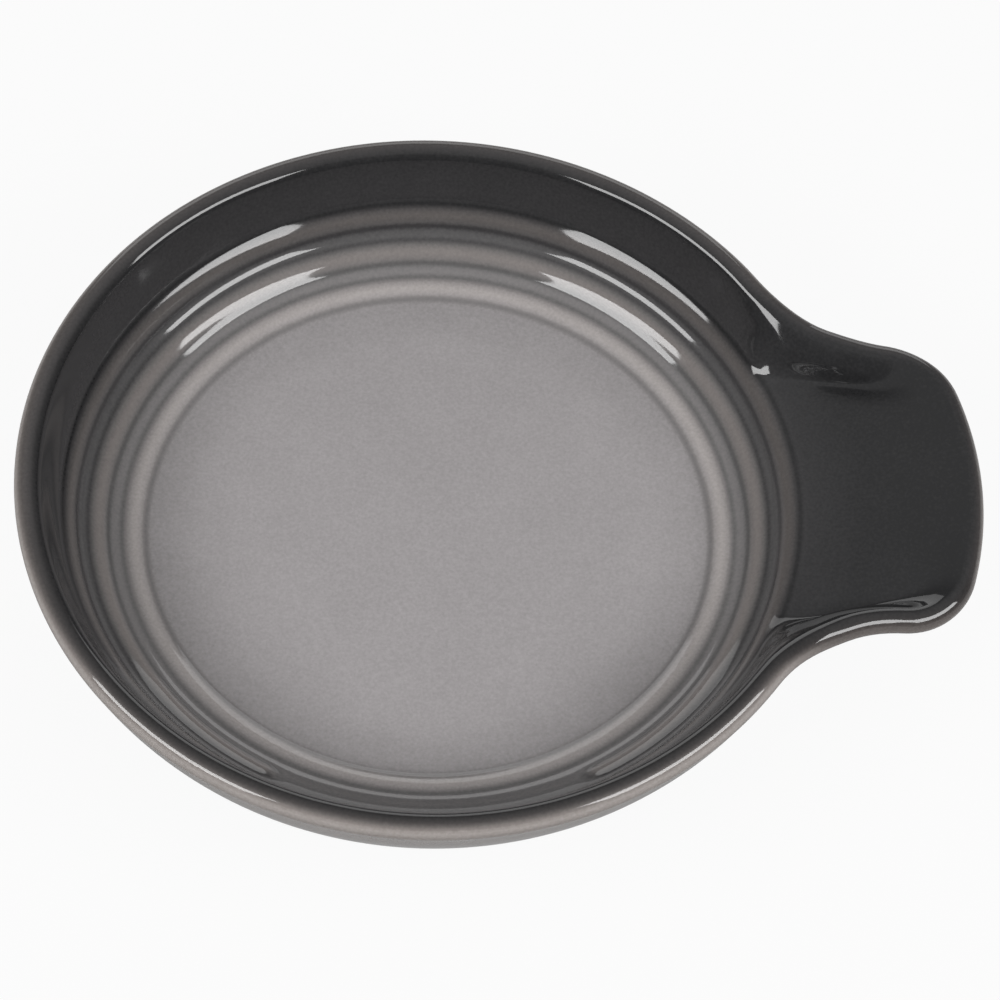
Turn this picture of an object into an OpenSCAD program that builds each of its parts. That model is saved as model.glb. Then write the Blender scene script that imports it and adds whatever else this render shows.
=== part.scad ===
// Spoon rest: a round shallow dish with three raised ribs inside and a broad trough for a handle,
// pressed as one piece of stoneware and glazed all over except for the ring that it stands on.
// Millimetres. The table is at Z = 0, the bowl's axis is the Z axis and the handle points along +X.

/* [Bowl] */
// Diameter over the rim
bowl_d = 130; // [120:1:145]
// Height of the rim above the table
bowl_h = 25; // [23:0.5:30]
// Diameter of the flat floor inside
floor_d = 84; // [78:1:88]
// Thickness of the floor, wall and handle, glaze included
wall_t = 4.2; // [3.4:0.1:5]
// Slope of the wall just under the rim, in degrees
wall_slope = 71; // [66:0.5:76]

/* [Ribs] */
// Distance up the wall from the edge of the floor to the first rib
rib_first = 5.1; // [4:0.1:6]
// Distance on from the last rib to the inside of the lip
rib_last = 10.3; // [9:0.1:12]
// Width of the plain strip between two ribs
rib_gap = 0.3; // [0.1:0.1:1.5]
// Height of a rib
rib_h = 0.5; // [0.3:0.05:0.9]
// Direction of the plain panel that breaks the middle rib, in degrees from the handle
panel_at = 270; // [255:1:285]
// Width of the plain panel, in degrees
panel_w = 53; // [20:1:60]

/* [Handle] */
// How far the handle reaches beyond the rim
handle_len = 22.3; // [18:0.1:32]
// Width of the handle where its sides turn into its corners
handle_w = 53.4; // [44:0.2:62]
// Angle at which each side closes in towards the tip, in degrees
handle_taper = 3.2; // [0:0.2:8]
// Radius of the handle's corners, seen from above
corner_r = 12.7; // [9:0.1:16]
// Radius of the handle's tip, seen from above
tip_r = 62; // [50:1:90]
// How far round the rim the edge starts to flare and sink, in degrees before the neck
neck_lead = 2.5; // [0:0.5:10]
// Length along the handle in which the edge flares from the slope of the wall to that of the trough's sides
flare_len = 7; // [4:0.5:14]
// Length along the handle in which the edge sinks at the neck
sink_len = 14; // [8:0.5:18]
// How far the edge sinks at the neck
neck_drop = 2.3; // [0:0.1:4]
// How far the edge sinks in all, from the rim of the bowl to the tip of the handle
tip_drop = 4.1; // [0:0.1:6]
// Length along the handle that the edge flares ahead of the sill, which opens after it
sill_wait = 8.5; // [2:0.5:12]
// Rise of the trough where it leaves the last rib, in degrees
trough_slope = 14; // [8:1:22]
// Rise of the trough at the tip, in degrees
tip_slope = 12; // [4:1:20]
// Slope of the trough's sides at their edges, in degrees
side_slope = 40; // [30:1:55]

/* [Foot] */
// Distance in from the edge of the flat floor to the outside of the foot ring
foot_inset = 2; // [1:0.5:8]
// Width of the foot ring where it leaves the base
foot_w = 4; // [3:0.5:6]
// Height of the foot ring under the glazed base
foot_h = 2; // [1:0.2:3]
// Bevel along both lower edges of the foot ring
foot_bevel = 0.8; // [0.3:0.1:1.2]

/* [Glaze] */
// Thickness of the glaze
glaze_t = 0.4; // [0.2:0.05:0.6]
// Strip of bare clay wiped clean beside the foot ring
wiped_w = 0.6; // [0.3:0.1:1]

/* [Hidden] */

// Heights and radii of the bowl
floor_h = foot_h + wall_t;
floor_r = floor_d / 2;
rim_r = bowl_d / 2;
lip_r = wall_t / 2;
lip_z = bowl_h - lip_r;
foot_r = floor_r - foot_inset;
handle_reach = rim_r + handle_len;

// The wall curves up from the floor and meets the straight slope that touches the lip
wall_top_r = rim_r - lip_r - lip_r * sin(wall_slope);
wall_top_z = lip_z + lip_r * cos(wall_slope);
wall_foot_r = wall_top_r - (wall_top_z - floor_h) / tan(wall_slope);
curve_r = (wall_foot_r - floor_r) / tan(wall_slope / 2);
curve_len = radians(wall_slope) * curve_r;
wall_len = curve_len + (wall_top_z - floor_h) / sin(wall_slope) - (wall_foot_r - floor_r);

// The ribs stand at even distances up the wall, and the last one is the sill of the handle's trough
RIBS = 3;
PANEL_RIB = 1;
rib_pitch = (wall_len - rib_first - rib_last) / (RIBS - 1);
rib_w = rib_pitch - rib_gap;
sill_start = rib_first + (RIBS - 1) * rib_pitch - rib_w / 2;
sill_slope = slope_at(sill_start);
bowl_sill_slope = slope_at(sill_start + rib_w);

// Outline of the handle: an arc across the tip, an arc at the corner and a hollow arc at the neck
side_out = [sin(handle_taper), cos(handle_taper)];
tip_c = [handle_reach - tip_r, 0];
corner_y = handle_w / 2 - corner_r * cos(handle_taper);
corner_c = [tip_c.x + sqrt(pow(tip_r - corner_r, 2) - pow(corner_y, 2)), corner_y];
side_p = corner_c + corner_r * side_out;
neck_r = (side_p * side_p - pow(rim_r, 2)) / (2 * (rim_r - side_p * side_out));
neck_c = side_p + neck_r * side_out;
corner_a = atan2(corner_c.y, corner_c.x - tip_c.x);
side_a = 90 - handle_taper;
neck_a = atan2(neck_c.y, neck_c.x);

// Places along the handle: where the edge starts to flare, where the neck ends, the middle of the lip at the
// tip, and from where on the edge is level again
flare_from = (rim_r - lip_r) * cos(neck_a + neck_lead);
neck_end = flare_from + sink_len;
tip_end = handle_reach - lip_r;
level_from = (side_p.x + tip_end) / 2;

// Steps along each stretch of the edge, and the angle that one step takes on the bowl
TIP_STEPS = 3;
CORNER_STEPS = 4;
NECK_STEPS = 7;
BOWL_STEP = 7.5;
// Sides of the round foot
ROUND = 96;
// A rib runs out in this angle where the plain panel breaks it
RIB_END = 2;
// How the lines up the trough are spread: below 1 they crowd towards its sides
SPREAD = 0.8;
// Length of the trough's guide tangents, as a share of the distance that it spans
GUIDE = 0.36;

// Points across a rib, from foot to foot, and points up the wall or along the trough above the ribs
RIB_ACROSS = [-1, -0.5, 0, 0.5, 1];
WALL_STEPS = 5;

function degrees(rad) = rad * 180 / PI;
function radians(deg) = deg * PI / 180;
function mix(a, b, t) = a + (b - a) * t;
function unit(v) = v / norm(v);
function polar(a) = [cos(a), sin(a)];
function lift(p, z) = [p.x, p.y, z];
function ease(t) = let (c = min(max(t, 0), 1)) c * c * (3 - 2 * c);
function steps(a, b, n) = [for (k = [0 : n - 1]) mix(a, b, k / n)];

// A station is a point on the middle of the lip and the direction that the edge faces there
function station(c, r, a) = [c + (r - lip_r) * polar(a), a];
function mirrored(s) = [[s[0].x, -s[0].y], 360 - s[1]];
function arc_count(a, b) = ceil((b - a) / BOWL_STEP);

panel_from = panel_at - panel_w / 2;
panel_to = panel_at + panel_w / 2;
handle_side = concat(
    [for (a = steps(0, corner_a, TIP_STEPS)) station(tip_c, tip_r, a)],
    [for (a = steps(corner_a, side_a, CORNER_STEPS)) station(corner_c, corner_r, a)],
    [for (a = steps(side_a, neck_a, NECK_STEPS)) station(neck_c, -neck_r, a)]
);
// Angles on the bowl that each have a station of their own
bowl_marks = [
    neck_a, 90, 180, panel_from - RIB_END, panel_from, panel_to, panel_to + RIB_END, 360 - neck_a
];
bowl_angles = concat(
    [
        for (k = [1 : len(bowl_marks) - 1])
        let (a = bowl_marks[k - 1], b = bowl_marks[k])
        each steps(a, b, arc_count(a, b))
    ],
    [360 - neck_a]
);
stations = concat(
    handle_side,
    [for (a = bowl_angles) station([0, 0], rim_r, a)],
    [for (k = [len(handle_side) - 1 : -1 : 1]) mirrored(handle_side[k])]
);
COUNT = len(stations);

// Azimuth at which the line through a station leaves the ribs
function spread(a) = a < neck_a ? neck_a * pow(a / neck_a, SPREAD) : a;
function azimuth(p) = let (a = spread(abs(atan2(p.y, p.x)))) p.y < 0 ? 360 - a : a;
azimuths = [for (s = stations) azimuth(s[0])];

// How far a station lies on the way from one place along the handle to another, from 0 to 1
function past(s, from, to) = ease((s[0].x - from) / (to - from));
function edge_z(s) =
    lip_z - neck_drop * past(s, flare_from, neck_end) - (tip_drop - neck_drop) * past(s, neck_end, level_from);
function edge_slope(s) =
    let (on_handle = mix(side_slope, tip_slope, past(s, side_p.x, tip_end)))
    mix(wall_slope, on_handle, past(s, flare_from, flare_from + flare_len));

// Upper surface without its ribs, along one line from the floor's edge to the lip
function heading(a, slope) = [cos(slope) * cos(a), cos(slope) * sin(a), sin(slope)];
function slope_at(climb) = min(degrees(climb / curve_r), wall_slope);
function on_wall(climb, a) =
    let (u = slope_at(climb))
    lift((floor_r + curve_r * sin(u)) * polar(a), floor_h + curve_r * (1 - cos(u)))
    + max(climb - curve_len, 0) * heading(a, wall_slope);
function bezier(p, q, t) =
    p[0] * pow(1 - t, 3) + 3 * p[1] * t * pow(1 - t, 2) + 3 * q[0] * pow(t, 2) * (1 - t) + q[1] * pow(t, 3);
function rib_foot(n, u) = rib_first + n * rib_pitch + u * rib_w / 2;
function lip_inner(s) = lift(s[0], edge_z(s)) + lip_r * heading(s[1], edge_slope(s) + 90);
function line_up(s, a) =
    let (
        slope = mix(bowl_sill_slope, trough_slope, past(s, flare_from + sill_wait, side_p.x)),
        foot = on_wall(sill_start, a),
        sill = [
            for (u = RIB_ACROSS)
            let (
                f = (u + 1) / 2,
                bowl_turn = (bowl_sill_slope - sill_slope) * f / 2,
                open_turn = (slope - bowl_sill_slope) * f * f / 3
            )
            foot + f * rib_w * heading(a, sill_slope + bowl_turn + open_turn)
        ],
        start = sill[len(sill) - 1],
        end = lip_inner(s),
        guide = GUIDE * norm(end - start),
        out = [start, start + guide * heading(a, slope)],
        in = [end - guide * heading(s[1], edge_slope(s)), end]
    )
    concat(
        [on_wall(0, a)],
        [
            for (n = [0 : RIBS - 2])
            for (u = RIB_ACROSS)
            on_wall(rib_foot(n, u), a)
        ],
        sill,
        [for (k = [1 : WALL_STEPS]) bezier(out, in, k / WALL_STEPS)]
    );
surface = [for (i = [0 : COUNT - 1]) line_up(stations[i], azimuths[i])];
LAST = len(surface[0]) - 1;

// Direction straight out of the upper surface
function outward(i, j) =
    j == 0 ? [0, 0, 1]
    : j == LAST ? heading(stations[i][1], edge_slope(stations[i]) + 90)
    : unit(cross(
        surface[i][j + 1] - surface[i][j - 1],
        surface[(i + 1) % COUNT][j] - surface[(i + COUNT - 1) % COUNT][j]
    ));
outwards = [for (i = [0 : COUNT - 1]) [for (j = [0 : LAST]) outward(i, j)]];

// Height of the ribs above that surface
function in_panel(a) = a > panel_from - RIB_END / 2 && a < panel_to + RIB_END / 2;
function rib_rise(i, j) =
    let (n = floor((j - 1) / len(RIB_ACROSS)), u = RIB_ACROSS[(j - 1) % len(RIB_ACROSS)])
    j == 0 || n >= RIBS || (n == PANEL_RIB && in_panel(azimuths[i])) ? 0 : rib_h * (1 + cos(180 * u)) / 2;

// Lines of the underside, from the lip to the edge of the floor
UNDER = [for (j = [LAST - 1 : -1 : LAST - WALL_STEPS]) j];
UNDER_CURVE = [for (n = [RIBS - 1 : -1 : 0]) 1 + n * len(RIB_ACROSS)];
under_lines = concat(UNDER, UNDER_CURVE, [0]);

// Directions from the middle of the lip to the points round it, and which of them is the outermost one
function lip_angles(slope) = [90 + slope / 2, 90, 45, 0, (slope - 90) / 2, slope - 90];
LIP_EDGE = 3;
EDGE_LINE = LAST + 1 + LIP_EDGE;

// One line of the whole skin at a depth below the glaze: up the inside, over the lip and back under
function skin(i, depth) =
    let (s = stations[i], c = lift(s[0], edge_z(s)))
    concat(
        [for (j = [0 : LAST]) surface[i][j] + (rib_rise(i, j) - depth) * outwards[i][j]],
        [for (g = lip_angles(edge_slope(s))) c + (lip_r - depth) * heading(s[1], g)],
        [for (j = under_lines) surface[i][j] - (wall_t - depth) * outwards[i][j]],
        [lift((foot_r + wiped_w) * polar(azimuths[i]), foot_h + depth)]
    );
glazed = [for (i = [0 : COUNT - 1]) skin(i, 0)];
clay = [for (i = [0 : COUNT - 1]) skin(i, glaze_t)];
LINES = len(clay[0]);

function flatten(rows) = [for (row = rows) for (p = row) p];
// The two triangles between neighbouring lines i and i + 1 and points k and next on each
function patch(i, k, next, n) =
    let (a = i * n, b = ((i + 1) % COUNT) * n)
    [[a + k, b + k, b + next], [a + k, b + next, a + next]];
function turned(faces) = [for (f = faces) [f[0], f[2], f[1]]];

// A coat of glaze between the clay and the glazed surface, from one line of the skin to another
module coat(from, to) {
    rows = [
        for (i = [0 : COUNT - 1])
        concat([for (k = [from : to]) clay[i][k]], [for (k = [to : -1 : from]) glazed[i][k]])
    ];
    n = len(rows[0]);
    faces = [for (i = [0 : COUNT - 1]) for (k = [0 : n - 1]) for (f = patch(i, k, (k + 1) % n, n)) f];
    polyhedron(flatten(rows), turned(faces), convexity = 8);
}

// The clay without its foot ring
module pressed_dish() {
    top = COUNT * LINES;
    base = top + 1;
    points = concat(flatten(clay), [[0, 0, floor_h - glaze_t], [0, 0, foot_h + glaze_t]]);
    faces = concat(
        [for (i = [0 : COUNT - 1]) for (k = [0 : LINES - 2]) for (f = patch(i, k, k + 1, LINES)) f],
        [for (i = [0 : COUNT - 1]) [top, ((i + 1) % COUNT) * LINES, i * LINES]],
        [for (i = [0 : COUNT - 1]) [base, (i + 1) * LINES - 1, ((i + 1) % COUNT + 1) * LINES - 1]]
    );
    polyhedron(points, faces, convexity = 8);
}

// The ring that the dish stands on, rooted in the clay above it
module foot_ring() {
    root = foot_h + wall_t / 2;
    rotate_extrude($fn = ROUND)
        polygon([
            [foot_r - foot_w, root],
            [foot_r - foot_w, foot_bevel],
            [foot_r - foot_w + foot_bevel, 0],
            [foot_r - foot_bevel, 0],
            [foot_r, foot_bevel],
            [foot_r, root]
        ]);
}

// Pressed and fired clay, with its ribs, lip, handle and foot
module stoneware_body() {
    color("#cbb79c")
        union() {
            pressed_dish();
            foot_ring();
        }
}

// Pale grey glaze on the flat floor
module well_glaze() {
    color("#97928f")
        translate([0, 0, floor_h - glaze_t])
            linear_extrude(glaze_t)
                polygon([for (a = azimuths) floor_r * polar(a)]);
}

// Grey glaze, darkening to charcoal, on the ribbed wall, the trough of the handle and over the lip
module wall_glaze() {
    color("#454446")
        coat(0, EDGE_LINE);
}

// Glaze on the outside, from the edge of the lip to the wiped strip beside the foot
module outside_glaze() {
    color("#75706e")
        coat(EDGE_LINE, LINES - 1);
}

// Glaze on the base, inside the foot ring
module base_glaze() {
    color("#75706e")
        translate([0, 0, foot_h])
            cylinder(h = glaze_t, r = foot_r - foot_w - wiped_w, $fn = ROUND);
}

stoneware_body();
well_glaze();
wall_glaze();
outside_glaze();
base_glaze();
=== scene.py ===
from math import atan2, cos, exp, hypot, pi, radians, sin, sqrt, tan

import bmesh
import bpy
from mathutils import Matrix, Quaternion, Vector


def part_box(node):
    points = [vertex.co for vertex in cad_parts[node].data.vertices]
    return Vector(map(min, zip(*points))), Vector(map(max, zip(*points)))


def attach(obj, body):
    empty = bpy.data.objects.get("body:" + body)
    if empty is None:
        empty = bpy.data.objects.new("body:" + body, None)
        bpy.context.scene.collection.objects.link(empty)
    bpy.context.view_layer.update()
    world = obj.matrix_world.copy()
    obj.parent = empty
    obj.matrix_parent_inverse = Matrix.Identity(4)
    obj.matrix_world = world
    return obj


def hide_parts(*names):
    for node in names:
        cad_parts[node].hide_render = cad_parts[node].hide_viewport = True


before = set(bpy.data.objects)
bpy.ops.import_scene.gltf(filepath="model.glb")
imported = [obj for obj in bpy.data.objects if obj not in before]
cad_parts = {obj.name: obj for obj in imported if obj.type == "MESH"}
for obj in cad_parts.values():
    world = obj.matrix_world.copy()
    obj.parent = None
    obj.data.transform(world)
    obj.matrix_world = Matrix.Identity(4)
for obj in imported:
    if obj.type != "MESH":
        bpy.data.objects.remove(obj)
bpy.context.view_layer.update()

# A glazed stoneware spoon rest: its coats of glaze and its bare clay foot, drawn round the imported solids.
# Shapes are worked out in millimetres in the frame of the solids and placed in metres.
MM = 0.001


def box_mm(node):
    """Lowest and highest corner of a solid, in millimetres."""
    low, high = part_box(node)
    return low / MM, high / MM


# Sizes that the solids give
well_low, well_high = box_mm("well_glaze")
base_low, base_high = box_mm("base_glaze")
coat_low, coat_high = box_mm("wall_glaze")
FLOOR_R = well_high.x
FLOOR_Z = well_high.z
GLAZE_T = well_high.z - well_low.z
RIM_R = -coat_low.y
RIM_Z = coat_high.z
REACH = coat_high.x
BASE_R = base_high.x
BASE_Z = base_low.z

# Wall and lip, and the slope of the wall just under the lip
WALL_T = FLOOR_Z - BASE_Z
LIP_R = WALL_T / 2
LIP_Z = RIM_Z - LIP_R
WALL_SLOPE = radians(71)

# Ribs: distances up the wall to the first rib and from the last one to the lip, the plain strip between two,
# their height, and the plain panel that breaks the middle one, in radians from the handle
RIBS = 3
RIB_FIRST = 5.1
RIB_LAST = 10.3
RIB_GAP = 0.3
RIB_H = 0.5
PANEL_RIB = 1
PANEL_AT = radians(270)
PANEL_W = radians(53)

# Handle seen from above
HANDLE_W = 53.4
TAPER = radians(3.2)
CORNER_R = 12.7
TIP_R = 62
# How the edge flares and sinks at the neck: how far before it, and in what lengths along the handle
NECK_LEAD = radians(2.5)
FLARE_LEN = 7
SINK_LEN = 14
# How far the edge sinks at the neck, and in all by the tip
NECK_DROP = 2.3
TIP_DROP = 4.1
# How far along the handle the sill opens after the edge, and the slopes of the trough
SILL_WAIT = 8.5
TROUGH_SLOPE = radians(14)
TIP_SLOPE = radians(12)
SIDE_SLOPE = radians(40)

# Foot ring, with the strip beside it that was wiped clean of glaze
FOOT_W = 4
FOOT_BEVEL = 0.8
WIPED_W = 0.6
FOOT_R = BASE_R + FOOT_W + WIPED_W
FOOT_ROOT = BASE_Z + GLAZE_T
BEVEL_STEPS = 4
# Radius of the rolled edge of a coat, and how far in the middle of the roll lies, as a share of it
ROLL_R = 0.7 * GLAZE_T
ROLL_MIDDLE = 0.3

# The wall curves up from the floor and meets the straight slope that touches the lip
wall_top_r = RIM_R - LIP_R - LIP_R * sin(WALL_SLOPE)
wall_top_z = LIP_Z + LIP_R * cos(WALL_SLOPE)
wall_foot_r = wall_top_r - (wall_top_z - FLOOR_Z) / tan(WALL_SLOPE)
CURVE_R = (wall_foot_r - FLOOR_R) / tan(WALL_SLOPE / 2)
WALL_LEN = WALL_SLOPE * CURVE_R + (wall_top_z - FLOOR_Z) / sin(WALL_SLOPE) - (wall_foot_r - FLOOR_R)
RIB_PITCH = (WALL_LEN - RIB_FIRST - RIB_LAST) / (RIBS - 1)
RIB_MIDDLES = [RIB_FIRST + n * RIB_PITCH for n in range(RIBS)]
RIB_W = RIB_PITCH - RIB_GAP
SILL_START = RIB_MIDDLES[-1] - RIB_W / 2
SILL_SLOPE = SILL_START / CURVE_R
BOWL_SILL_SLOPE = (SILL_START + RIB_W) / CURVE_R

# Outline of the handle: an arc across the tip, an arc at the corner and a hollow arc at the neck
side_out = Vector((sin(TAPER), cos(TAPER)))
TIP_C = Vector((REACH - TIP_R, 0))
corner_y = HANDLE_W / 2 - CORNER_R * cos(TAPER)
CORNER_C = Vector((TIP_C.x + sqrt((TIP_R - CORNER_R) ** 2 - corner_y ** 2), corner_y))
SIDE_P = CORNER_C + CORNER_R * side_out
NECK_R = (SIDE_P.dot(SIDE_P) - RIM_R ** 2) / (2 * (RIM_R - SIDE_P.dot(side_out)))
NECK_C = SIDE_P + NECK_R * side_out
CORNER_A = atan2(CORNER_C.y, CORNER_C.x - TIP_C.x)
SIDE_A = pi / 2 - TAPER
NECK_A = atan2(NECK_C.y, NECK_C.x)
FLARE_FROM = (RIM_R - LIP_R) * cos(NECK_A + NECK_LEAD)
NECK_END = FLARE_FROM + SINK_LEN
TIP_END = REACH - LIP_R
LEVEL_FROM = (SIDE_P.x + TIP_END) / 2

# Steps along each stretch of the edge and up each stretch of the wall
TIP_STEPS = 16
CORNER_STEPS = 16
NECK_STEPS = 18
BOWL_STEPS = 190
CURVE_STEPS = 54
SILL_STEPS = 20
WALL_STEPS = 22
LIP_IN_STEPS = 12
LIP_OUT_STEPS = 8
# How the lines up the trough are spread: below 1 they crowd towards its sides
SPREAD = 0.8
# Length of the trough's guide tangents, as a share of the distance that it spans
GUIDE = 0.36
# How closely the steps up the trough crowd towards the last rib: above 1 they crowd
CROWD = 1.4
# Points closer than this, in millimetres, are one, and sharper edges than this stay sharp
MERGE = 0.002
SMOOTH_BELOW = radians(35)


def mix(a, b, t):
    return a + (b - a) * t


def ease(t):
    t = min(max(t, 0), 1)
    return t * t * (3 - 2 * t)


def bell(t):
    return exp(-t * t)


def steps(a, b, count):
    return [mix(a, b, k / count) for k in range(count)]


def polar(angle, radius, z):
    return Vector((radius * cos(angle), radius * sin(angle), z))


def heading(angle, slope):
    return Vector((cos(slope) * cos(angle), cos(slope) * sin(angle), sin(slope)))


def arc_station(centre, radius, angle):
    """A point on the middle of the lip and the direction that the edge faces there."""
    reach = radius - LIP_R
    return Vector((centre.x + reach * cos(angle), centre.y + reach * sin(angle), 0)), angle


def edge_stations():
    """Stations all the way round the edge, from the tip of the handle."""
    bowl_c = Vector((0, 0))
    side = [arc_station(TIP_C, TIP_R, a) for a in steps(0, CORNER_A, TIP_STEPS)]
    side += [arc_station(CORNER_C, CORNER_R, a) for a in steps(CORNER_A, SIDE_A, CORNER_STEPS)]
    side += [arc_station(NECK_C, -NECK_R, a) for a in steps(SIDE_A, NECK_A, NECK_STEPS)]
    bowl = [arc_station(bowl_c, RIM_R, a) for a in steps(NECK_A, 2 * pi - NECK_A, BOWL_STEPS)]
    bowl.append(arc_station(bowl_c, RIM_R, 2 * pi - NECK_A))
    far_side = [(Vector((p.x, -p.y, 0)), 2 * pi - a) for p, a in reversed(side[1:])]
    return side + bowl + far_side


def azimuth(point):
    """Direction in which the line through a station leaves the ribs."""
    angle = abs(atan2(point.y, point.x))
    if angle < NECK_A:
        angle = NECK_A * (angle / NECK_A) ** SPREAD
    return 2 * pi - angle if point.y < 0 else angle


def past(x, start, end):
    """How far a value lies on the way from one to another, eased, from 0 to 1."""
    return ease((x - start) / (end - start))


def edge_z(x):
    at_neck = NECK_DROP * past(x, FLARE_FROM, NECK_END)
    at_tip = (TIP_DROP - NECK_DROP) * past(x, NECK_END, LEVEL_FROM)
    return LIP_Z - at_neck - at_tip


def edge_slope(x):
    on_handle = mix(SIDE_SLOPE, TIP_SLOPE, past(x, SIDE_P.x, TIP_END))
    return mix(WALL_SLOPE, on_handle, past(x, FLARE_FROM, FLARE_FROM + FLARE_LEN))


def wall_line(point, facing, angle):
    """Upper surface without its ribs, along one line from the floor's edge to the inside of the lip."""
    curve = []
    for climb in steps(0, SILL_START, CURVE_STEPS):
        turn = climb / CURVE_R
        curve.append(polar(angle, FLOOR_R + CURVE_R * sin(turn), FLOOR_Z + CURVE_R * (1 - cos(turn))))
    slope = mix(BOWL_SILL_SLOPE, TROUGH_SLOPE, past(point.x, FLARE_FROM + SILL_WAIT, SIDE_P.x))
    foot = polar(angle, FLOOR_R + CURVE_R * sin(SILL_SLOPE), FLOOR_Z + CURVE_R * (1 - cos(SILL_SLOPE)))
    sill = []
    for f in steps(0, 1, SILL_STEPS) + [1]:
        bowl_turn = (BOWL_SILL_SLOPE - SILL_SLOPE) * f / 2
        open_turn = (slope - BOWL_SILL_SLOPE) * f * f / 3
        sill.append(foot + f * RIB_W * heading(angle, SILL_SLOPE + bowl_turn + open_turn))
    start = sill[-1]
    lip_slope = edge_slope(point.x)
    end = point + Vector((0, 0, edge_z(point.x))) + LIP_R * heading(facing, lip_slope + pi / 2)
    guide = GUIDE * (end - start).length
    leave = start + guide * heading(angle, slope)
    arrive = end - guide * heading(facing, lip_slope)
    wall = []
    for k in range(1, WALL_STEPS + 1):
        t = (k / WALL_STEPS) ** CROWD
        near_start = start * (1 - t) ** 3 + leave * 3 * t * (1 - t) ** 2
        wall.append(near_start + arrive * 3 * t ** 2 * (1 - t) + end * t ** 3)
    return curve + sill + wall


stations = edge_stations()
azimuths = [azimuth(point) for point, facing in stations]
COUNT = len(stations)
surface = [wall_line(point, facing, angle) for (point, facing), angle in zip(stations, azimuths)]
LAST = len(surface[0]) - 1


def outward(i, j):
    """Direction straight out of the upper surface."""
    if j == 0:
        return Vector((0, 0, 1))
    point, facing = stations[i]
    if j == LAST:
        return heading(facing, edge_slope(point.x) + pi / 2)
    along = surface[i][j + 1] - surface[i][j - 1]
    across = surface[(i + 1) % COUNT][j] - surface[i - 1][j]
    return along.cross(across).normalized()


def climbs(line):
    """Distance up a line to each of its points."""
    total = 0
    found = [0]
    for a, b in zip(line, line[1:]):
        total += (b - a).length
        found.append(total)
    return found


outwards = [[outward(i, j) for j in range(LAST + 1)] for i in range(COUNT)]
line_climbs = [climbs(line) for line in surface]


def from_rib(i, j, n):
    """Distance from the middle of a rib. The middle rib ends round where the panel breaks it."""
    across = line_climbs[i][j] - RIB_MIDDLES[n]
    past_end = 0
    if n == PANEL_RIB:
        rib_end = PANEL_W / 2 + RIB_W / 2 / RIM_R
        inside = rib_end - abs(azimuths[i] - PANEL_AT)
        past_end = max(0, inside) * hypot(surface[i][j].x, surface[i][j].y)
    return hypot(across, past_end)


def rib_rise(i, j):
    """Height of the ribs above the plain wall."""
    rise = 0
    for n in range(RIBS):
        share = from_rib(i, j, n) / (RIB_W / 2)
        if share < 1:
            rise += RIB_H * (1 + cos(pi * share)) / 2
    return rise


def lip_angles(slope):
    inner = steps(slope + pi / 2, 0, LIP_IN_STEPS)
    outer = steps(0, slope - pi / 2, LIP_OUT_STEPS) + [slope - pi / 2]
    return inner[1:] + outer


EDGE_LINE = LAST + LIP_IN_STEPS


def skin(i, depth):
    """One line of the whole skin at a depth below the glaze: up the inside, over the lip and back under."""
    point, facing = stations[i]
    middle = point + Vector((0, 0, edge_z(point.x)))
    line = [surface[i][j] + (rib_rise(i, j) - depth) * outwards[i][j] for j in range(LAST + 1)]
    line += [middle + (LIP_R - depth) * heading(facing, g) for g in lip_angles(edge_slope(point.x))]
    line += [surface[i][j] - (WALL_T - depth) * outwards[i][j] for j in range(LAST - 1, -1, -1)]
    return line


glazed = [skin(i, 0) for i in range(COUNT)]
clay = [skin(i, GLAZE_T) for i in range(COUNT)]
LINES = len(glazed[0])


def rings(lines, first, last, skip=1):
    """The points of the lines taken the other way: one ring round the dish for each point of a line."""
    way = 1 if last >= first else -1
    chosen = list(range(first, last, way * skip)) + [last]
    return [[line[k] for line in lines] for k in chosen]


def flat_ring(radius, z):
    return [polar(angle, radius, z) for angle in azimuths]


# Glaze is dark where it lies thick, and breaks to a paler taupe where it is drawn thin over an edge. At the
# front of the lip and of the handle the tones also carry painted shade and a painted reflection.
SHADE_FLOOR = 0.1
SHADE_EDGE = 0.14
SHADE_BASE = 0.62
FADE_R = 35
# Rings of the floor, closer together where its shade changes
FLOOR_RINGS = [0, 4, 8, 12, 16, 20, 24, 27, 30, 32, 34, 36, 37.5, 39, 40, 41, FLOOR_R]


def floor_shade(radius):
    return mix(SHADE_FLOOR, SHADE_EDGE, ease((radius - FADE_R) / (FLOOR_R - FADE_R)))


def drawn_shell(name, ring_list, shades, thins):
    """A closed shell: a circle whose edge is drawn out ring by ring, each new ring laid in its place.
    Two numbers a ring, or a list of them, tell the glaze how dark and how thin it is there."""
    bpy.ops.object.select_all(action="DESELECT")
    bpy.ops.mesh.primitive_circle_add(vertices=COUNT, radius=FLOOR_R * MM)
    shell = bpy.context.object
    shell.name = name
    shell.data.name = name
    bpy.ops.object.mode_set(mode="EDIT")
    for k, ring in enumerate(ring_list):
        if k > 0:
            bpy.ops.mesh.extrude_edges_indiv()
        mesh = bmesh.from_edit_mesh(shell.data)
        shade_layer = mesh.verts.layers.float.get("shade") or mesh.verts.layers.float.new("shade")
        thin_layer = mesh.verts.layers.float.get("thin") or mesh.verts.layers.float.new("thin")
        mesh.verts.ensure_lookup_table()
        for i, vert in enumerate(mesh.verts[-COUNT:]):
            vert.co = ring[i] * MM
            vert[shade_layer] = shades[k][i]
            vert[thin_layer] = thins[k][i]
        bmesh.update_edit_mesh(shell.data)
    bpy.ops.mesh.select_all(action="SELECT")
    bpy.ops.mesh.remove_doubles(threshold=MERGE * MM)
    bpy.ops.mesh.normals_make_consistent(inside=False)
    bpy.ops.object.mode_set(mode="OBJECT")
    bpy.ops.object.shade_smooth_by_angle(angle=SMOOTH_BELOW)
    return shell


def even(value, ring_list):
    return [[value] * COUNT for ring in ring_list]


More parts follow.
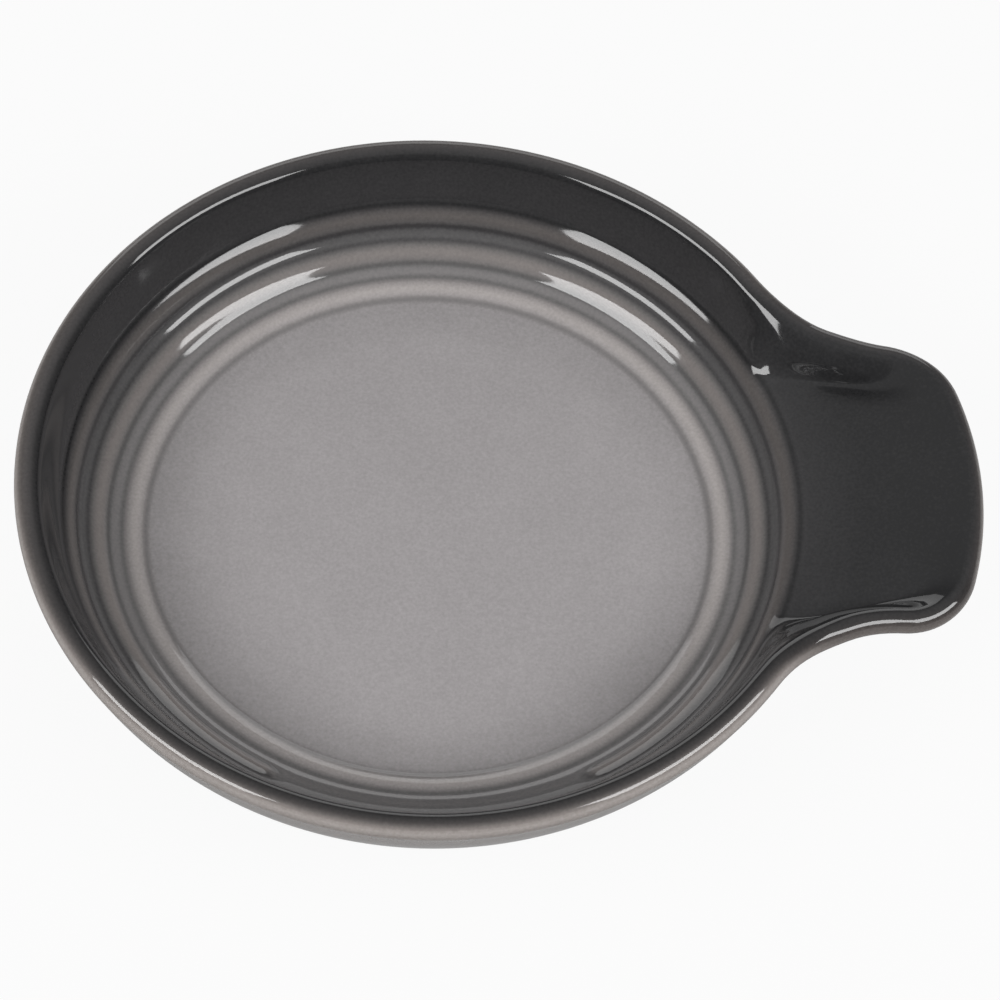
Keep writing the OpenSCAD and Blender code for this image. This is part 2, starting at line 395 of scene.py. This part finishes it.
# Darkness of the glaze up the wall, as pairs of climb in millimetres and shade
WALL_SHADES = [
    (0, SHADE_EDGE), (5, 0.22), (8, 0.32), (14.5, 0.6), (18, 0.72), (21, 0.89), (30, 0.98), (45, 1.0),
]
# The same round the lip, from its inside to its outermost line, and from there down the outside
LIP_SHADES = [
    (0, 1.0), (0.2, 0.95), (0.35, 0.8), (0.58, 0.62), (0.65, 0.5), (0.71, 0.32), (0.85, 0.17), (1, 0.15),
]
OUTSIDE_SHADES = [(0, 0.19), (0.15, 0.26), (0.4, 0.42), (1, 0.55)]
# Painted light on the lip, set by the way its edge faces. At the front the lip is dark further up, which is
# painted shade, and then pale, which is a painted reflection. On the front of the handle it stays darker,
# which is painted shade.
# The front begins and is full at these sines of the direction that the edge faces.
FRONT_LIP_PAINTED_LIGHT = [
    (0, 1.0), (0.44, 0.95), (0.55, 0.76), (0.64, 0.48), (0.72, 0.22), (0.8, 0.11), (0.9, 0.12), (1, 0.22),
]
HANDLE_LIP_PAINTED_SHADE = [(0, 1.0), (0.5, 0.9), (0.75, 0.66), (1, 0.46)]
HANDLE_PAINTED_SHADE = 0.26
PAINTED_FRONT_FROM = 0
PAINTED_FRONT_FULL = -0.6


def graded(pairs, at):
    for (a, low), (b, high) in zip(pairs, pairs[1:]):
        if at <= b:
            return mix(low, high, max(0, at - a) / (b - a))
    return pairs[-1][1]


# Band where the glaze is drawn thin over a rib, and the line of thick glaze on either side of it
THIN_W = 1.4
THIN_GAIN = 0.15
RIB_WARMTH = 0.6
POOL_AT = 1.95
POOL_W = 0.5
POOL_GAIN = 0.2


def wall_glaze_tone(i, j):
    """Shade and thinness of the glaze at a point of the ribbed wall."""
    shade = graded(WALL_SHADES, line_climbs[i][j])
    thin = 0
    pooled = 0
    for n in range(RIBS):
        away = from_rib(i, j, n)
        thin = max(thin, bell(away / THIN_W))
        pooled = max(pooled, bell((away - POOL_AT) / POOL_W))
    return shade + POOL_GAIN * pooled - THIN_GAIN * thin, RIB_WARMTH * thin


def painted_light_place(i):
    """How far a station is at the front, and how far it is on the handle, which set where the lip and
    outside get painted light.
    """
    point, facing = stations[i]
    return past(sin(facing), PAINTED_FRONT_FROM, PAINTED_FRONT_FULL), past(point.x, FLARE_FROM, NECK_END)


def lip_tone(i, turn):
    """Shade and thinness round the lip, where turn goes from 0 at its inside to 1 at its outermost line. At
    the front and on the front of the handle the shade carries painted shade and a painted reflection.
    """
    front, on_handle = painted_light_place(i)
    # The front's tones are painted shade and a painted reflection, mixed in by how far the edge faces the
    # front.
    front_painted_light = mix(graded(FRONT_LIP_PAINTED_LIGHT, turn), graded(HANDLE_LIP_PAINTED_SHADE, turn), on_handle)
    return mix(graded(LIP_SHADES, turn), front_painted_light, front), ease(turn)


def outside_tone(i, down):
    """Shade and thinness on the outside, where down goes from 0 at the outermost line to 1 at the base. On
    the front of the handle painted shade darkens it.
    """
    front, on_handle = painted_light_place(i)
    thin = 1 - ease(down)
    # Painted shade darkens the outside on the front of the handle, fading down from the lip.
    return graded(OUTSIDE_SHADES, down) + HANDLE_PAINTED_SHADE * front * on_handle * thin, thin


def tone_rings(first, last):
    """Shade and thinness for each ring of the glazed skin."""
    shades = []
    thins = []
    for k in range(first, last + 1):
        if k <= LAST:
            tones = [wall_glaze_tone(i, k) for i in range(COUNT)]
        elif k <= EDGE_LINE:
            tones = [lip_tone(i, (k - LAST) / LIP_IN_STEPS) for i in range(COUNT)]
        else:
            down = (k - EDGE_LINE) / (LINES - 1 - EDGE_LINE)
            tones = [outside_tone(i, down) for i in range(COUNT)]
        shades.append([tone[0] for tone in tones])
        thins.append([tone[1] for tone in tones])
    return shades, thins


CLAY_SKIP = 4


def coat(name, first, last, ends=()):
    """A coat of glaze over the clay, from one line of the skin to another and back underneath."""
    over = rings(glazed, first, last)
    shades, thins = tone_rings(first, last)
    under = list(ends) + rings(clay, last, first, CLAY_SKIP) + [over[0]]
    shades += [shades[-1]] * (len(under) - 1) + [shades[0]]
    thins += [thins[-1]] * (len(under) - 1) + [thins[0]]
    return drawn_shell(name, over + under, shades, thins)


def well_coat():
    over = [flat_ring(r, FLOOR_Z) for r in FLOOR_RINGS]
    under = [flat_ring(FLOOR_R, FLOOR_Z - GLAZE_T), flat_ring(0, FLOOR_Z - GLAZE_T)]
    shades = [[floor_shade(r)] * COUNT for r in FLOOR_RINGS] + even(SHADE_FLOOR, under)
    return drawn_shell("well_glaze_coat", over + under, shades, even(0, over + under))


def outside_coat():
    """The outside coat ends in a rolled edge at the strip that was wiped clean beside the foot."""
    edge_r = FOOT_R + WIPED_W
    ends = [
        flat_ring((FLOOR_R + edge_r) / 2, BASE_Z),
        flat_ring(edge_r + ROLL_R, BASE_Z),
        flat_ring(edge_r + ROLL_R * ROLL_MIDDLE, BASE_Z + ROLL_R * ROLL_MIDDLE),
        flat_ring(edge_r, BASE_Z + ROLL_R),
        flat_ring(edge_r, FOOT_ROOT),
    ]
    return coat("outside_glaze_coat", EDGE_LINE, LINES - 1, ends)


def base_coat():
    over = [
        flat_ring(0, FOOT_ROOT),
        flat_ring(BASE_R, FOOT_ROOT),
        flat_ring(BASE_R, BASE_Z + ROLL_R),
        flat_ring(BASE_R - ROLL_R * ROLL_MIDDLE, BASE_Z + ROLL_R * ROLL_MIDDLE),
        flat_ring(BASE_R - ROLL_R, BASE_Z),
        flat_ring(BASE_R / 2, BASE_Z),
        flat_ring(0, BASE_Z),
    ]
    return drawn_shell("base_glaze_coat", over, even(SHADE_BASE, over), even(0, over))


def bevel_rings(corner_r, way):
    """A rounded lower edge of the foot ring, from its side down to its standing face or back up."""
    centre_r = corner_r - way * FOOT_BEVEL
    turns = steps(0, pi / 2, BEVEL_STEPS) + [pi / 2]
    found = [
        flat_ring(centre_r + way * FOOT_BEVEL * cos(t), FOOT_BEVEL - FOOT_BEVEL * sin(t)) for t in turns
    ]
    return found if way > 0 else found[::-1]


def clay_body():
    """Fired clay under the glaze, and the bare foot ring that it stands on."""
    over = [flat_ring(0, FLOOR_Z - GLAZE_T)] + rings(clay, 0, LINES - 1, CLAY_SKIP)
    inner_r = FOOT_R - FOOT_W
    foot = [flat_ring(FOOT_R + WIPED_W, FOOT_ROOT), flat_ring(FOOT_R, FOOT_ROOT)]
    foot += bevel_rings(FOOT_R, 1)
    foot += bevel_rings(inner_r, -1)
    foot += [flat_ring(inner_r, FOOT_ROOT), flat_ring(0, FOOT_ROOT)]
    return drawn_shell("stoneware_clay", over + foot, even(0, over + foot), even(0, over + foot))


body = clay_body()
well = well_coat()
wall = coat("wall_glaze_coat", 0, EDGE_LINE)
outside = outside_coat()
base = base_coat()


# Materials

def linear(hex_colour):
    """Linear colour of an sRGB hex value."""
    found = []
    for k in (0, 2, 4):
        value = int(hex_colour[k:k + 2], 16) / 255
        found.append(value / 12.92 if value <= 0.04045 else ((value + 0.055) / 1.055) ** 2.4)
    return (*found, 1)


def add(tree, kind, inputs=(), stops=(), **settings):
    """Adds a node with its settings, sets or links its inputs and lays out the stops of a colour ramp."""
    node = tree.nodes.new(kind)
    for key, value in settings.items():
        setattr(node, key, value)
    for key, value in dict(inputs).items():
        if isinstance(value, bpy.types.NodeSocket):
            tree.links.new(value, node.inputs[key])
        else:
            node.inputs[key].default_value = value
    for k, (place, colour) in enumerate(stops):
        bar = node.color_ramp.elements
        stop = bar[k] if k < len(bar) else bar.new(place)
        stop.position = place
        stop.color = linear(colour)
    return node


def new_material(name):
    material = bpy.data.materials.new(name)
    material.use_nodes = True
    material.node_tree.nodes.clear()
    return material, material.node_tree


# Speckles in the glaze, the clouds that it was sprayed in, and the slow waves that it sets in. Gains are
# shares of the way from pale to charcoal.
SPECK_MM = 0.5
SPECK_GAIN = 0.17
CLOUD_MM = 9
CLOUD_GAIN = 0.05
WAVE_MM = 14
WAVE_H = 0.2
WAVE_STRENGTH = 0.1
GLAZE_ROUGHNESS = 0.07


def fired_glaze(name):
    """Grey feldspar glaze, sprayed and fired: a clear glassy skin over a colour that is charcoal where the
    glaze lies thick, pale grey where it is thin, and warm taupe where it breaks over an edge. On the front
    of the lip and of the handle that colour also holds painted shade and a painted reflection."""
    material, tree = new_material(name)
    place = add(tree, "ShaderNodeTexCoord").outputs["Object"]
    shade = add(tree, "ShaderNodeAttribute", attribute_name="shade").outputs["Fac"]
    thin = add(tree, "ShaderNodeAttribute", attribute_name="thin").outputs["Fac"]
    specks = add(tree, "ShaderNodeTexNoise", {"Vector": place, "Scale": 1 / (SPECK_MM * MM), "Detail": 2})
    clouds = add(tree, "ShaderNodeTexNoise", {"Vector": place, "Scale": 1 / (CLOUD_MM * MM), "Detail": 3})
    speckled = add(
        tree, "ShaderNodeMath", {0: specks.outputs["Fac"], 1: SPECK_GAIN, 2: shade},
        operation="MULTIPLY_ADD",
    )
    clouded = add(
        tree, "ShaderNodeMath", {0: clouds.outputs["Fac"], 1: CLOUD_GAIN, 2: speckled.outputs[0]},
        operation="MULTIPLY_ADD",
    )
    toned = add(
        tree, "ShaderNodeMath", {0: clouded.outputs[0], 1: (SPECK_GAIN + CLOUD_GAIN) / 2},
        operation="SUBTRACT",
    )
    grey = add(tree, "ShaderNodeValToRGB", {"Fac": toned.outputs[0]}, stops=[
        (0.0, "a5a1a2"), (0.25, "7d7a7a"), (0.5, "5d5c5c"), (0.75, "3e3d3e"), (1.0, "222223"),
    ])
    taupe = add(tree, "ShaderNodeValToRGB", {"Fac": toned.outputs[0]}, stops=[
        (0.0, "a9a39f"), (0.25, "817a76"), (0.5, "615b58"), (0.75, "413c3a"), (1.0, "252322"),
    ])
    colour = add(
        tree, "ShaderNodeMix",
        {"Factor": thin, "A": grey.outputs["Color"], "B": taupe.outputs["Color"]}, data_type="RGBA",
    )
    waves = add(tree, "ShaderNodeTexNoise", {"Vector": place, "Scale": 1 / (WAVE_MM * MM), "Detail": 1})
    bump = add(
        tree, "ShaderNodeBump",
        {"Height": waves.outputs["Fac"], "Strength": WAVE_STRENGTH, "Distance": WAVE_H * MM},
    )
    shader = add(tree, "ShaderNodeBsdfPrincipled", {
        "Base Color": colour.outputs["Result"], "Normal": bump.outputs["Normal"],
        "Roughness": GLAZE_ROUGHNESS, "IOR": 1.5,
    })
    add(tree, "ShaderNodeOutputMaterial", {"Surface": shader.outputs["BSDF"]})
    return material


# Grit in the bare clay
GRIT_MM = 0.7
GRIT_H = 0.1
GRIT_STRENGTH = 0.4
CLAY_ROUGHNESS = 0.85


def bare_stoneware():
    """Buff stoneware, wiped and fired: dry and matt, with fine dark grit."""
    material, tree = new_material("bare_buff_stoneware")
    place = add(tree, "ShaderNodeTexCoord").outputs["Object"]
    grit = add(tree, "ShaderNodeTexNoise", {"Vector": place, "Scale": 1 / (GRIT_MM * MM), "Detail": 4})
    colour = add(tree, "ShaderNodeValToRGB", {"Fac": grit.outputs["Fac"]}, stops=[
        (0.3, "a8957b"), (0.5, "cbb79c"), (0.75, "d8c8b0"),
    ])
    bump = add(
        tree, "ShaderNodeBump",
        {"Height": grit.outputs["Fac"], "Strength": GRIT_STRENGTH, "Distance": GRIT_H * MM},
    )
    shader = add(tree, "ShaderNodeBsdfPrincipled", {
        "Base Color": colour.outputs["Color"], "Normal": bump.outputs["Normal"],
        "Roughness": CLAY_ROUGHNESS, "IOR": 1.5,
    })
    add(tree, "ShaderNodeOutputMaterial", {"Surface": shader.outputs["BSDF"]})
    return material


glaze = fired_glaze("fired_grey_glaze")
clay_material = bare_stoneware()
PIECES = [
    (body, "stoneware_body", "bare_stoneware", clay_material),
    (well, "well_glaze", "well_glaze", glaze),
    (wall, "wall_glaze", "wall_glaze", glaze),
    (outside, "outside_glaze", "outside_glaze", glaze),
    (base, "base_glaze", "outside_glaze", glaze),
]
for piece, node, slot, material in PIECES:
    piece.data.materials.append(material)
    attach(piece, "root")
    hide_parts(node)


# Studio: a white table, soft boxes in front to the left and right, a low bright panel behind and white
# diffusers overhead, and a camera at the photo's angle. Lengths here are metres.
TABLE_SIZE = 6
# How far the paper glows white by itself, for the eye and in reflections, so that its shadow stays soft
PAPER_GLOW = 0.93
MIRRORED_GLOW = 0.05
BOX_AWAY = 0.9
BOX_SIZE = (0.6, 0.31)
BOX_UP = radians(36.5)
BOX_WATTS = 5.7
BOX_RIGHT = radians(-30)
BOX_LEFT = radians(-150)
PANEL_AWAY = 1.2
PANEL_SIZE = (1.2, 0.55)
PANEL_UP = radians(17)
PANEL_WATTS = 2.9
BEHIND = radians(90)


def white_table():
    bpy.ops.object.select_all(action="DESELECT")
    bpy.ops.mesh.primitive_plane_add(size=TABLE_SIZE)
    table = bpy.context.object
    table.name = "white_table"
    material, tree = new_material("white_studio_paper")
    ray = add(tree, "ShaderNodeLightPath").outputs
    mirrored = add(
        tree, "ShaderNodeMath", {0: ray["Is Glossy Ray"], 1: ray["Is Transmission Ray"]},
        operation="MAXIMUM",
    )
    mirrored = add(tree, "ShaderNodeMath", {0: mirrored.outputs[0], 1: MIRRORED_GLOW}, operation="MULTIPLY")
    glow_share = add(
        tree, "ShaderNodeMath", {0: ray["Is Camera Ray"], 1: PAPER_GLOW, 2: mirrored.outputs[0]},
        operation="MULTIPLY_ADD",
    )
    paper = add(tree, "ShaderNodeBsdfDiffuse", {"Color": linear("b8b8b8")})
    glow = add(tree, "ShaderNodeEmission", {"Strength": 1})
    both = add(
        tree, "ShaderNodeMixShader",
        {0: glow_share.outputs[0], 1: paper.outputs["BSDF"], 2: glow.outputs["Emission"]},
    )
    add(tree, "ShaderNodeOutputMaterial", {"Surface": both.outputs["Shader"]})
    table.data.materials.append(material)


def soft_light(name, angle, up, away, size, watts):
    """A rectangular soft light that faces the dish."""
    lamp = bpy.data.lights.new(name, "AREA")
    lamp.shape = "RECTANGLE"
    lamp.size, lamp.size_y = size
    lamp.energy = watts
    stand = bpy.data.objects.new(name, lamp)
    bpy.context.scene.collection.objects.link(stand)
    direction = heading(angle, up)
    stand.location = direction * away
    stand.rotation_euler = (-direction).to_track_quat("-Z", "Y").to_euler()


def studio_world():
    """A dim room, brighter overhead where white diffusers hang."""
    world = bpy.data.worlds.new("studio")
    world.use_nodes = True
    tree = world.node_tree
    tree.nodes.clear()
    direction = add(tree, "ShaderNodeTexCoord").outputs["Generated"]
    height = add(tree, "ShaderNodeSeparateXYZ", {"Vector": direction}).outputs["Z"]
    level = add(tree, "ShaderNodeValToRGB", {"Fac": height}, stops=[
        (0.0, "555555"), (0.6, "707070"), (0.82, "acacac"), (1.0, "acacac"),
    ])
    grey = add(tree, "ShaderNodeBackground", {"Color": level.outputs["Color"], "Strength": 1})
    add(tree, "ShaderNodeOutputWorld", {"Surface": grey.outputs["Background"]})
    bpy.context.scene.world = world


# The camera's place and the point that it looks at, in metres, its roll, and its lens for a 36 mm frame
CAMERA_AT = Vector((-0.01732, -0.36082, 0.57218))
CAMERA_AIM = Vector((0.01184, 0.00976, 0))
CAMERA_ROLL = radians(4.03)
CAMERA_LENS = 151.2


def camera():
    lens = bpy.data.cameras.new("camera")
    lens.lens = CAMERA_LENS
    lens.sensor_width = 36
    eye = bpy.data.objects.new("camera", lens)
    bpy.context.scene.collection.objects.link(eye)
    eye.location = CAMERA_AT
    turn = (CAMERA_AIM - CAMERA_AT).to_track_quat("-Z", "Y") @ Quaternion((0, 0, 1), CAMERA_ROLL)
    eye.rotation_euler = turn.to_euler()
    bpy.context.scene.camera = eye


white_table()
soft_light("softbox_right", BOX_RIGHT, BOX_UP, BOX_AWAY, BOX_SIZE, BOX_WATTS)
soft_light("softbox_left", BOX_LEFT, BOX_UP, BOX_AWAY, BOX_SIZE, BOX_WATTS)
soft_light("panel_behind", BEHIND, PANEL_UP, PANEL_AWAY, PANEL_SIZE, PANEL_WATTS)
studio_world()
camera()
bpy.context.scene.view_settings.view_transform = "Standard"
